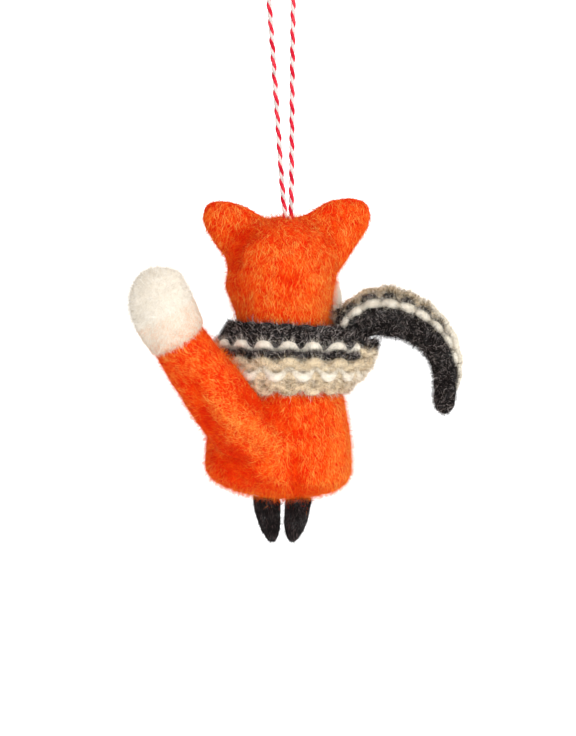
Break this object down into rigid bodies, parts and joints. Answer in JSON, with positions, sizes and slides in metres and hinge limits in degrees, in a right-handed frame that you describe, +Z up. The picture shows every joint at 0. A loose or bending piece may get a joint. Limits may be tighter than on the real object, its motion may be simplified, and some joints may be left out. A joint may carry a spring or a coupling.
{
  "type": "hanging fox ornament",
  "caption": "Needle-felted wool fox ornament with a raised tail and a striped knitted scarf, hung from a loop of two-colour twine.",
  "frame": {"origin": "where the hook bears on the inside of the twine loop's top", "axes": "+Z up along the hanging direction, +Y towards the fox's back and tail, +X towards the fox's left"},
  "size_m": [0.0977, 0.0642, 0.1708],
  "materials": {
    "wool_orange": "matt needle-felted wool with loose fibres",
    "wool_cream": "matt needle-felted wool with loose fibres",
    "wool_black": "matt needle-felted wool with loose fibres",
    "scarf_knit": "chunky striped knit of lightly fulled wool yarn",
    "twine": "matt two-ply cotton twine, one ply coloured",
    "bead": "polished black bead"
  },
  "bodies": {
    "hanger": {"twine_loop": "twine"},
    "anchor": {"twine_anchor": "twine"},
    "fox": {"head": "wool_orange", "ear_left": "wool_orange", "ear_right": "wool_orange", "inner_ear_left": "wool_cream", "inner_ear_right": "wool_cream", "cheek_left": "wool_cream", "cheek_right": "wool_cream", "muzzle": "wool_orange", "nose": "wool_black", "eye_left": "bead", "eye_right": "bead", "torso": "wool_orange", "chest_bib": "wool_cream", "leg_left": "wool_black", "leg_right": "wool_black", "tail": "wool_orange", "tail_tip": "wool_cream"},
    "scarf": {"scarf_wrap": "scarf_knit"},
    "scarf_tail": {"scarf_end": "scarf_knit"}
  },
  "joints": [
    {"name": "swing", "type": "hinge", "parent": "hanger", "child": "anchor", "pos_m": [-0.0021, 0, -0.0708], "axis": [0, 1, 0], "range_deg": [-20, 20]},
    {"name": "spin", "type": "hinge", "parent": "anchor", "child": "fox", "pos_m": [-0.0021, 0, -0.0708], "axis": [0, 0, 1], "continuous": true},
    {"name": "scarf_turn", "type": "hinge", "parent": "fox", "child": "scarf", "pos_m": [0, -0.00295, -0.114], "axis": [0, 0, 1], "range_deg": [-12, 12]},
    {"name": "scarf_end_lift", "type": "hinge", "parent": "scarf", "child": "scarf_tail", "pos_m": [-0.0219, -0.00035, -0.1023], "axis": [0, 1, 0], "range_deg": [0, 40]}
  ]
}
